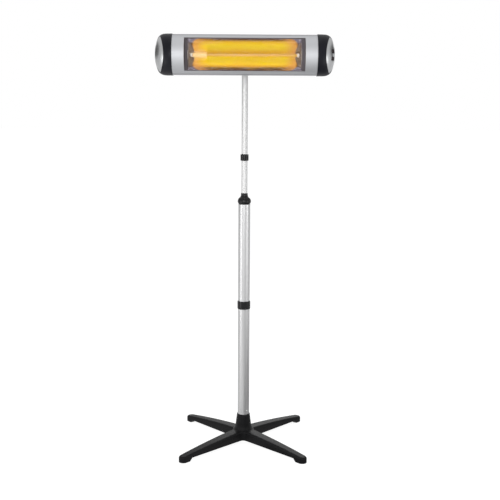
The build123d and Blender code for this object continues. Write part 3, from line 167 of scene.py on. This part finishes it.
# a card on the floor in front of the base and to its right, seen only in metal, dulls the
# mast towards its foot
card_height = 0.002
card_outline = ((0.0, -1.3), (1.6, -1.3), (1.6, 0.6), (0.3, 0.6), (0.3, -0.12), (0.0, -0.12))
floor_card = grey_card("floor_card", [(x, y, card_height) for x, y in card_outline], 0.46)
floor_card.visible_diffuse = False

soft_box("box_front", (-0.4, -3.9, 1.85), (0, 0, 1.6), 2.4, 1.7, 70)
soft_box("strip_left", (-1.9, -1.1, 0.75), (0, 0, 0.9), 0.8, 1.5, 15)
soft_box("strip_right", (1.9, -1.1, 0.9), (0, 0, 1.0), 0.8, 1.2, 10)
soft_box("box_top", (0.0, -0.4, 3.8), (0, 0, 0.6), 1.6, 1.6, 8)
soft_box("box_back", (0.5, 3.4, 2.1), (0, 0, 1.3), 2.0, 1.8, 34)

# ================================================================ the base
# One aluminium die casting with four arched legs and a socket for the mast, powder coated in
# satin black with the fine orange-peel grain of the coat. A bolt from below holds the mast.


def soft_edges(crease_degrees=32, weld=0.000002):
    """Welds a CAD node's loose triangles and shades smooth every edge flatter than the crease."""
    group = bpy.data.node_groups.new("soft_edges", "GeometryNodeTree")
    group.interface.new_socket("Geometry", in_out="INPUT", socket_type="NodeSocketGeometry")
    group.interface.new_socket("Geometry", in_out="OUTPUT", socket_type="NodeSocketGeometry")
    start = group.nodes.new("NodeGroupInput")
    end = group.nodes.new("NodeGroupOutput")
    welded = group.nodes.new("GeometryNodeMergeByDistance")
    welded.inputs["Distance"].default_value = weld
    round_faces = group.nodes.new("GeometryNodeSetShadeSmooth")
    round_faces.domain = "FACE"
    round_faces.inputs["Shade Smooth"].default_value = True
    crisp_edges = group.nodes.new("GeometryNodeSetShadeSmooth")
    crisp_edges.domain = "EDGE"
    crisp_edges.inputs["Shade Smooth"].default_value = False
    bend = group.nodes.new("GeometryNodeInputMeshEdgeAngle")
    steep = group.nodes.new("FunctionNodeCompare")
    steep.data_type = "FLOAT"
    steep.operation = "GREATER_THAN"
    steep.inputs["B"].default_value = math.radians(crease_degrees)
    join = group.links.new
    join(start.outputs[0], welded.inputs["Geometry"])
    join(welded.outputs["Geometry"], round_faces.inputs["Geometry"])
    join(round_faces.outputs["Geometry"], crisp_edges.inputs["Geometry"])
    join(bend.outputs["Unsigned Angle"], steep.inputs["A"])
    join(steep.outputs["Result"], crisp_edges.inputs["Selection"])
    join(crisp_edges.outputs["Geometry"], end.inputs[0])
    return group


softened = soft_edges()


def dress(names, material):
    """Gives CAD nodes a finish and smooth shading."""
    for name in names:
        nodes[name].material_slots[0].material = material
        nodes[name].modifiers.new("soft_edges", "NODES").node_group = softened


def new_finish(name, colour, roughness, metallic=0.0):
    """A material with one Principled shader; returns the material, its tree and the shader."""
    material = bpy.data.materials.new(name)
    material.use_nodes = True
    tree = material.node_tree
    shader = tree.nodes["Principled BSDF"]
    shader.inputs["Base Color"].default_value = (*colour, 1)
    shader.inputs["Roughness"].default_value = roughness
    shader.inputs["Metallic"].default_value = metallic
    return material, tree, shader


def grain(tree, per_metre, detail, stretch=(1, 1, 1)):
    """Noise over the piece's own coordinates, stretched by axis; returns its 0 to 1 output."""
    place = tree.nodes.new("ShaderNodeTexCoord")
    run = tree.nodes.new("ShaderNodeMapping")
    run.inputs["Scale"].default_value = stretch
    noise = tree.nodes.new("ShaderNodeTexNoise")
    noise.inputs["Scale"].default_value = per_metre
    noise.inputs["Detail"].default_value = detail
    tree.links.new(place.outputs["Object"], run.inputs["Vector"])
    tree.links.new(run.outputs["Vector"], noise.inputs["Vector"])
    return noise.outputs["Fac"]


def between(tree, value, low, high, start=0.3, stop=0.7):
    """A number that runs evenly from low to high as the value goes from start to stop."""
    scale = tree.nodes.new("ShaderNodeMapRange")
    scale.inputs["From Min"].default_value = start
    scale.inputs["From Max"].default_value = stop
    scale.inputs["To Min"].default_value = low
    scale.inputs["To Max"].default_value = high
    tree.links.new(value, scale.inputs["Value"])
    return scale.outputs["Result"]


def banded(tree, value, stops):
    """Colours laid out by the value: each stop is a value from 0 to 1 and its colour."""
    ramp = tree.nodes.new("ShaderNodeValToRGB")
    marks = ramp.color_ramp.elements
    for mark, (position, colour) in zip(marks, (stops[0], stops[-1])):
        mark.position = position
        mark.color = (*colour, 1)
    for position, colour in stops[1:-1]:
        marks.new(position).color = (*colour, 1)
    tree.links.new(value, ramp.inputs["Fac"])
    return ramp.outputs["Color"]


def vary_shine(tree, shader, value, low, high):
    """The shader's roughness runs from low to high with the value."""
    tree.links.new(between(tree, value, low, high), shader.inputs["Roughness"])


def vary_tone(tree, shader, value, dark, light, start=0.3, stop=0.7):
    """The shader's colour runs from dark to light as the value goes from start to stop."""
    colour = banded(tree, value, [(start, dark), (stop, light)])
    tree.links.new(colour, shader.inputs["Base Color"])


def relief(tree, shader, value, depth, strength=1.0):
    """Bumps the shader's normal by the value, depth metres from low to high."""
    bump = tree.nodes.new("ShaderNodeBump")
    bump.inputs["Distance"].default_value = depth
    bump.inputs["Strength"].default_value = strength
    tree.links.new(value, bump.inputs["Height"])
    tree.links.new(bump.outputs["Normal"], shader.inputs["Normal"])


def times(colour, share):
    """The colour with each of its three parts multiplied by the share."""
    return tuple(c * share for c in colour)


drift_per_metre = 14.0
drift_lightest = 1.35


def fine_textured(name, colour, roughness, per_metre, depth, shine=0.12):
    """Coat or moulding: a fine even texture, and a slow drift of tone over the piece."""
    material, tree, shader = new_finish(name, colour, roughness)
    shader.inputs["Specular IOR Level"].default_value = shine
    fine = grain(tree, per_metre, 2.0)
    slow = grain(tree, drift_per_metre, 2.0)
    vary_shine(tree, shader, fine, roughness - 0.06, roughness + 0.08)
    vary_tone(tree, shader, slow, colour, times(colour, drift_lightest))
    relief(tree, shader, fine, depth)
    return material


dress(
    ["base_star"],
    fine_textured("powder_coat", (0.006, 0.006, 0.0065), 0.46,
                  per_metre=1100.0, depth=0.00006, shine=0.08),
)

# ================================================================ the glides
# Four pale plastic glides, moulded and pushed into the feet from below, scuffed dull where
# they slide on the floor.
glide, tree, shader = new_finish("glide_plastic", (0.62, 0.62, 0.60), 0.5)
scuff = grain(tree, 160.0, 4.0)
vary_tone(tree, shader, scuff, (0.50, 0.50, 0.48), (0.66, 0.66, 0.64))
relief(tree, shader, scuff, 0.0001)
dress(["foot_pads"], glide)

# ================================================================ bolts, screws and nuts
# Zinc-plated steel fasteners: the base bolt and its washer, the strap's and the rail's
# screws, the tilt bolt with its spacer, and the screws of the caps. The plating's shine
# changes in soft patches.
zinc, tree, shader = new_finish("zinc_plate", (0.60, 0.61, 0.60), 0.32, 1.0)
plating = grain(tree, 420.0, 3.0)
vary_shine(tree, shader, plating, 0.24, 0.44)
vary_tone(tree, shader, plating, (0.50, 0.51, 0.50), (0.66, 0.67, 0.65))
dress(
    ["base_bolt", "base_washer", "plug_screw", "strap_screws", "strap_nuts", "slot_bolts",
     "slot_nuts", "tilt_bolt", "tilt_spacer", "cap_screws"],
    zinc,
)

# ================================================================ the mast tubes
# Steel tubes with a brushed satin finish whose hair lines run lengthwise: two thick ones
# outside, pushed over the coupler, and two thin ones that slide inside them.
hairs_per_metre = 900.0
hair_squeeze = 0.012        # of the grain along the hairs, which draws them out


def hair_lined(name, colour, roughness, along, depth=0.00001):
    """Brushed metal: hair lines along an axis drive its tone, its shine and a faint relief."""
    material, tree, shader = new_finish(name, colour, roughness, 1.0)
    stretch = [hair_squeeze if axis == along else 1.0 for axis in "XYZ"]
    lines = grain(tree, hairs_per_metre, 4.0, stretch)
    vary_shine(tree, shader, lines, roughness - 0.05, roughness + 0.07)
    vary_tone(tree, shader, lines, times(colour, 0.94), times(colour, 1.04))
    relief(tree, shader, lines, depth, 0.5)
    return material


dress(
    ["outer_tube_lower", "outer_tube_upper"],
    hair_lined("outer_tube_satin", (0.425, 0.425, 0.428), 0.40, along="Z", depth=0.000002),
)
dress(
    ["inner_tube_lower", "inner_tube_upper"],
    hair_lined("inner_tube_satin", (0.52, 0.52, 0.52), 0.56, along="Z", depth=0.000002),
)

# ================================================================ collars, clamp and guides
# Glass-filled nylon mouldings: the two collars that join the tubes, the bell-shaped lock ring
# with its finger flutes, the tilt knob and its washers, and the guides inside the mast. The
# split collet under the lock ring is left in the nylon's own colour.
dress(
    ["outer_coupler", "inner_coupler", "lock_ring", "tilt_knob", "tilt_washers"],
    fine_textured("collar_nylon", (0.005, 0.005, 0.0055), 0.26,
                  per_metre=1500.0, depth=0.00003, shine=0.19),
)
dress(
    ["tube_plug", "clamp_bush", "guide_bush"],
    fine_textured("core_nylon", (0.045, 0.045, 0.047), 0.5, per_metre=900.0, depth=0.00005),
)
natural, tree, shader = new_finish("natural_nylon", (0.70, 0.67, 0.58), 0.45)
cloud = grain(tree, 220.0, 2.0)
vary_tone(tree, shader, cloud, (0.64, 0.61, 0.52), (0.74, 0.71, 0.63))
dress(["split_collet"], natural)

# ================================================================ the cup on the mast
# Die-cast cup with a flat tongue, painted dark grey, pressed over the top of the thin tube.
# The tongue stands up behind the head and carries the tilt strap.
dress(
    ["mast_top_cup"],
    fine_textured("cup_paint", (0.085, 0.085, 0.088), 0.38, per_metre=700.0, depth=0.00005),
)

# ================================================================ the straps and brackets
# Steel strip bent to a U, one on the mast and one on the head, and two angles that hold the
# lamp. They keep the rolled skin's grain and are held by screws and nuts.
dress(
    ["mast_strap", "head_strap", "holder_bracket_left", "holder_bracket_right"],
    hair_lined("strap_steel", (0.58, 0.58, 0.59), 0.34, along="Z"),
)

# ================================================================ the head's housing
# Aluminium extrusion with fins and a slotted rail, satin anodised, with the faint draw lines
# of the die along its length. Its grey is darkened, partly as a painted shade for its upper and
# lower lips. The front, the caps and the lamp are all fixed to it.
dress(["rear_housing"], hair_lined("anodised_shaded_extrusion", (0.30, 0.30, 0.315), 0.42, along="X"))

# ================================================================ the front cover
# Aluminium sheet rolled to the front's curve, with a window cut in it, brushed lengthwise.
# Its long edges tuck under the housing's lips and its ends go into the caps.
dress(["front_cover"], hair_lined("brushed_cover", (0.43, 0.435, 0.45), 0.60, along="X"))

# ================================================================ the window's cheeks
# Folded plates that close the space between the curved cover and the glass at both ends of
# the window, coated matt and dark as a painted shade for the shadow in the window's ends.
dress(
    ["window_cheek_left", "window_cheek_right"],
    fine_textured("cheek_painted_shade", (0.05, 0.042, 0.048), 0.45, per_metre=500.0, depth=0.00008),
)

# ================================================================ glass and seal
# Clear heat-proof glass in front of the lamp, with the light film that heat leaves on it. A
# moulded frame of dark silicone holds it against the housing's ribs.
clear, tree, shader = new_finish("clear_glass", (0.03, 0.035, 0.033), 0.04)
shader.inputs["Alpha"].default_value = 0.08
shader.inputs["IOR"].default_value = 1.47
vary_shine(tree, shader, grain(tree, 9.0, 2.0), 0.03, 0.09)
dress(["glass_pane"], clear)
dress(
    ["glass_seal"],
    fine_textured("silicone", (0.105, 0.092, 0.10), 0.55, per_metre=800.0, depth=0.00004),
)

# ================================================================ the reflector
# Hammered aluminium trough behind the lamp, bent from sheet and held by the housing. The lamp's
# light on it is painted as a glow in the colour of the lamp, strongest in line with it.
lamp_line = 1.6555          # height at which the lamp shows on the trough
trough_half_height = 0.066
lip_rise = 0.060            # from the lamp's line to where the trough's lips begin
corner_square = 0.019       # metres added by the square of the rise
corner_tenth = 0.012        # and by its tenth power
glow_end = (0.211, 0.223)   # from the middle, where the glow fades out
red_glow_run = (0.150, 0.216)  # from the middle, where it reddens
sleeve_end = (-0.162, -0.146)
sleeve_edge = (0.006, 0.024)
sleeve_share = 0.85
metal_dimming = 0.68
glow_strength = (0.60, 0.78)
gold, amber, brown = (0.98, 0.74, 0.008), (0.84, 0.46, 0.02), (0.16, 0.075, 0.04)
red_glow, glow_patch = (0.80, 0.36, 0.10), (0.88, 0.42, 0.03)
sleeve_light = (1.0, 0.72, 0.32)
unlit, black = (0.05, 0.035, 0.04), (0.0, 0.0, 0.0)
plate_grey = (0.23, 0.20, 0.25)


def feed(tree, socket, value):
    """Puts a plain number, a colour or another node's output into a socket."""
    if isinstance(value, bpy.types.NodeSocket):
        tree.links.new(value, socket)
    elif isinstance(value, tuple):
        socket.default_value = (*value, 1)
    else:
        socket.default_value = value


def place_axes(tree):
    """The piece's own X, Y and Z as three numbers."""
    place = tree.nodes.new("ShaderNodeTexCoord")
    axes = tree.nodes.new("ShaderNodeSeparateXYZ")
    tree.links.new(place.outputs["Object"], axes.inputs[0])
    return axes.outputs["X"], axes.outputs["Y"], axes.outputs["Z"]


def worked(tree, operation, first, second=0.0):
    """One sum on one or two values; a value is a socket or a plain number."""
    node = tree.nodes.new("ShaderNodeMath")
    node.operation = operation
    feed(tree, node.inputs[0], first)
    feed(tree, node.inputs[1], second)
    return node.outputs[0]


def fade(tree, value, start, stop):
    """Runs softly from 0 to 1 as the value goes from start to stop."""
    scale = tree.nodes.new("ShaderNodeMapRange")
    scale.interpolation_type = "SMOOTHSTEP"
    scale.inputs["From Min"].default_value = start
    scale.inputs["From Max"].default_value = stop
    tree.links.new(value, scale.inputs["Value"])
    return scale.outputs["Result"]


def fade_out(tree, value, start, stop):
    """Runs softly from 1 to 0 as the value goes from start to stop."""
    return worked(tree, "SUBTRACT", 1.0, fade(tree, value, start, stop))


# the Mix node's sockets for colours, which share their names with those for numbers
mix_share, mix_first, mix_second, mix_result = 0, 6, 7, 2


def mixed(tree, share, first, second):
    """The first colour turning to the second as the share goes from 0 to 1."""
    mix = tree.nodes.new("ShaderNodeMix")
    mix.data_type = "RGBA"
    feed(tree, mix.inputs[mix_share], share)
    feed(tree, mix.inputs[mix_first], first)
    feed(tree, mix.inputs[mix_second], second)
    return mix.outputs[mix_result]


lit, tree, shader = new_finish("lit_reflector", gold, 0.18, 1.0)
from_middle, _, height = place_axes(tree)
# painted bands of glow from the trough's lower lip to its upper one; a painted shade of the
# lamp lies just above the lamp's line
across = fade(tree, height, lamp_line - trough_half_height, lamp_line + trough_half_height)
glow = banded(tree, across, [
    (0.02, brown), (0.075, amber), (0.12, gold), (0.42, gold), (0.62, amber), (0.76, gold),
    (0.90, gold), (0.955, amber), (0.985, brown),
])
# the glow keeps off the trough's two ends, sooner towards its lips: a length times the square,
# and another times the tenth power, of the rise off the lamp's line as a share of the lip's
# rise are added to the distance from the middle
off_line = worked(tree, "ABSOLUTE", worked(tree, "SUBTRACT", height, lamp_line))
rise = worked(tree, "DIVIDE", off_line, lip_rise)
corner = worked(
    tree, "ADD",
    worked(tree, "MULTIPLY", worked(tree, "POWER", rise, 2.0), corner_square),
    worked(tree, "MULTIPLY", worked(tree, "POWER", rise, 10.0), corner_tenth),
)
along = worked(tree, "ADD", worked(tree, "ABSOLUTE", from_middle), corner)
past_glow = fade(tree, along, *glow_end)
# the painted glow reddens just before its ends, and in patches all over
reddened = mixed(tree, fade(tree, along, *red_glow_run), glow, red_glow)
dappled = between(tree, grain(tree, 22.0, 3.0, (0.6, 1, 1)), 0.0, 0.45, 0.50, 0.75)
patched = mixed(tree, dappled, reddened, glow_patch)
# a painted reflection of the pale sleeve on the lamp's left end lies softly on the trough round
# it
mirrored = worked(
    tree, "MULTIPLY",
    fade_out(tree, from_middle, *sleeve_end), fade_out(tree, off_line, *sleeve_edge),
)
paler = mixed(tree, worked(tree, "MULTIPLY", mirrored, sleeve_share), patched, sleeve_light)
feed(tree, shader.inputs["Emission Color"], mixed(tree, past_glow, paler, unlit))
# the metal's own colour is painted in the glow's dimmed tones, and in the end plates' grey past
# the glow
dimmed = mixed(tree, metal_dimming, glow, black)
feed(tree, shader.inputs["Base Color"], mixed(tree, past_glow, dimmed, plate_grey))
uneven = between(tree, grain(tree, 90.0, 3.0), *glow_strength)
feed(tree, shader.inputs["Emission Strength"], uneven)
relief(tree, shader, grain(tree, 130.0, 2.0), 0.0012)
dress(["reflector"], lit)

# ================================================================ the reflector's end plates
# Slanted plates of the same sheet that close the trough's two ends, each with a hole for the
# lamp's end. Their metal is painted dark purple-grey, a painted reflection of the dark cheeks
# beside them, and streaked lighter and darker.
end_metal, tree, shader = new_finish("end_plate_metal", plate_grey, 0.42, 0.45)
streak = grain(tree, 120.0, 3.0, (0.3, 0.3, 2.0))
vary_tone(tree, shader, streak, (0.13, 0.11, 0.14), (0.32, 0.29, 0.34), 0.36, 0.68)
relief(tree, shader, streak, 0.0008)
dress(["reflector_end_left", "reflector_end_right"], end_metal)

# ================================================================ the lamp
# Drawn quartz tube, closed at both ends. Its wall is tinted orange as painted lamplight, with a
# painted glow strongest in front of the filament and a painted shade along its upper edge.
wall_half_height = 0.006
wall_shade = (0.30, 0.13, 0.015)
quartz, tree, shader = new_finish("quartz", (0.30, 0.16, 0.03), 0.05)
shader.inputs["Alpha"].default_value = 0.78
shader.inputs["Emission Strength"].default_value = 0.72
_, _, height = place_axes(tree)
up_wall = fade(tree, height, lamp_line - wall_half_height, lamp_line + wall_half_height)
wall_glow = banded(tree, up_wall, [
    (0.0, (0.75, 0.42, 0.05)), (0.42, (1.0, 0.62, 0.16)), (0.60, (0.95, 0.55, 0.12)),
    (0.74, wall_shade), (1.0, wall_shade),
])
feed(tree, shader.inputs["Emission Color"], wall_glow)
vary_shine(tree, shader, grain(tree, 60.0, 2.0), 0.03, 0.12)
dress(["lamp_tube"], quartz)

# ================================================================ the filament
# Resistance wire wound to a fine coil, stretched along the quartz tube between its ends. It
# glows orange-white, a little unevenly along its length.
coil_radius, wire_radius, coil_pitch = 0.00125, 0.00025, 0.0013
steps_a_turn, wire_sides = 10, 5
hot, tree, shader = new_finish("hot_filament", (1.0, 0.6, 0.2), 0.5)
shader.inputs["Emission Color"].default_value = (1.0, 0.74, 0.34, 1)
heat = between(tree, grain(tree, 300.0, 2.0), 2.2, 3.0)
feed(tree, shader.inputs["Emission Strength"], heat)


def tube_mesh(name, points):
    """Quad mesh over rings of points (ring, place on the ring, xyz), each ring closed on itself
    and joined to the next."""
    rings, sides = points.shape[:2]
    r, c = np.meshgrid(np.arange(rings - 1), np.arange(sides), indexing="ij")
    this, following, c2 = r * sides, (r + 1) * sides, (c + 1) % sides
    corners = np.stack([this + c, this + c2, following + c2, following + c], -1)
    mesh = bpy.data.meshes.new(name)
    mesh.from_pydata(points.reshape(-1, 3).tolist(), [], corners.reshape(-1, 4).tolist())
    mesh.polygons.foreach_set("use_smooth", np.ones(len(mesh.polygons), dtype=bool))
    piece = bpy.data.objects.new(name, mesh)
    bpy.context.scene.collection.objects.link(piece)
    return piece


def wound_wire(name, start, stop, line):
    """Helix round a line along X: the wire's centre runs at the coil's radius, turning once a
    pitch, and a small circle is carried along it square to the line."""
    turns = (stop - start) / coil_pitch
    t = np.linspace(0, 1, int(turns * steps_a_turn))
    turn = 2 * np.pi * turns * t
    around = 2 * np.pi * np.arange(wire_sides) / wire_sides
    reach = coil_radius + wire_radius * np.cos(around)[None, :]
    x = start + (stop - start) * t[:, None] + wire_radius * np.sin(around)[None, :]
    y = line[0] + reach * np.cos(turn)[:, None]
    z = line[1] + reach * np.sin(turn)[:, None]
    return tube_mesh(name, np.stack(np.broadcast_arrays(x, y, z), -1))


low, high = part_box("filament")
middle = (low + high) / 2
coil = wound_wire("filament_coil", low.x, high.x, (middle.y, middle.z))
coil.data.materials.append(hot)
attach(coil, "head")
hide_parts("filament")

# ================================================================ the lamp's ceramics
# White fired ceramic with a fine speckle: a sleeve over the lamp's left end, the two ends
# cemented to the tube, and the two blocks that clamp them. The lamp's light on all of them is a
# painted glow, and the sleeve's colour is the white ceramic painted in the lamp's orange light.


def fired_ceramic(name, dark, light, glow, glow_share):
    """Fired ceramic with a fine speckle, with the lamp's light on it painted as a glow in the
    glow's colour.
    """
    material, tree, shader = new_finish(name, light, 0.6)
    speckle = grain(tree, 380.0, 3.0)
    vary_tone(tree, shader, speckle, dark, light)
    relief(tree, shader, speckle, 0.00008)
    shader.inputs["Emission Color"].default_value = (*glow, 1)
    shader.inputs["Emission Strength"].default_value = glow_share
    return material


dress(
    ["lamp_end_left", "lamp_end_right", "lamp_holder_left", "lamp_holder_right"],
    fired_ceramic("ceramic", (0.66, 0.63, 0.60), (0.80, 0.77, 0.73),
                  glow=(1.0, 0.86, 0.70), glow_share=0.22),
)
# the sleeve's tones are the white ceramic painted in the lamp's orange light
dress(
    ["lamp_sleeve"],
    fired_ceramic("lit_ceramic", (0.62, 0.42, 0.18), (0.78, 0.58, 0.30),
                  glow=(1.0, 0.66, 0.24), glow_share=0.60),
)

# ================================================================ the end caps
# Moulded caps in satin black that carry the front's curve round to the sides, each held to
# the housing's ends by screws.
dress(
    ["end_cap_left", "end_cap_right"],
    fine_textured("cap_plastic", (0.007, 0.007, 0.010), 0.34, per_metre=1600.0, depth=0.00003),
)

# ================================================================ the silver ovals
# Curved shells let into the caps, lacquered silver over a fine metal flake. The right one
# has two cut-outs for the switches.
silver, tree, shader = new_finish("silver_lacquer", (0.40, 0.405, 0.41), 0.32, 1.0)
flake = grain(tree, 2600.0, 2.0)
vary_shine(tree, shader, flake, 0.28, 0.38)
vary_tone(tree, shader, flake, (0.36, 0.365, 0.37), (0.44, 0.445, 0.45))
dress(["end_disc_left", "end_disc_right"], silver)

# ================================================================ the switches and the gland
# Two snap-in rocker switches in the right oval, moulded in glossy black with dark red-brown
# rockers, and the cable gland with its locknut, screwed through the housing's back.
dress(
    ["switch_case_upper", "switch_case_lower", "cable_gland", "gland_locknut"],
    fine_textured("switch_plastic", (0.012, 0.012, 0.013), 0.25, per_metre=1200.0, depth=0.00002),
)
dress(
    ["rocker_upper", "rocker_lower"],
    fine_textured("rocker_plastic", (0.022, 0.008, 0.012), 0.22, per_metre=1200.0, depth=0.00002),
)

# ================================================================ the wiring
# Moulded terminal block in pale plastic and the dark case of the tip-over switch, both fixed
# to the housing's back wall inside the head.
dress(
    ["terminal_block"],
    fine_textured("terminal_plastic", (0.60, 0.57, 0.48), 0.5, per_metre=700.0, depth=0.00004),
)
dress(
    ["tip_over_switch"],
    fine_textured("sensor_plastic", (0.06, 0.06, 0.06), 0.45, per_metre=700.0, depth=0.00004),
)
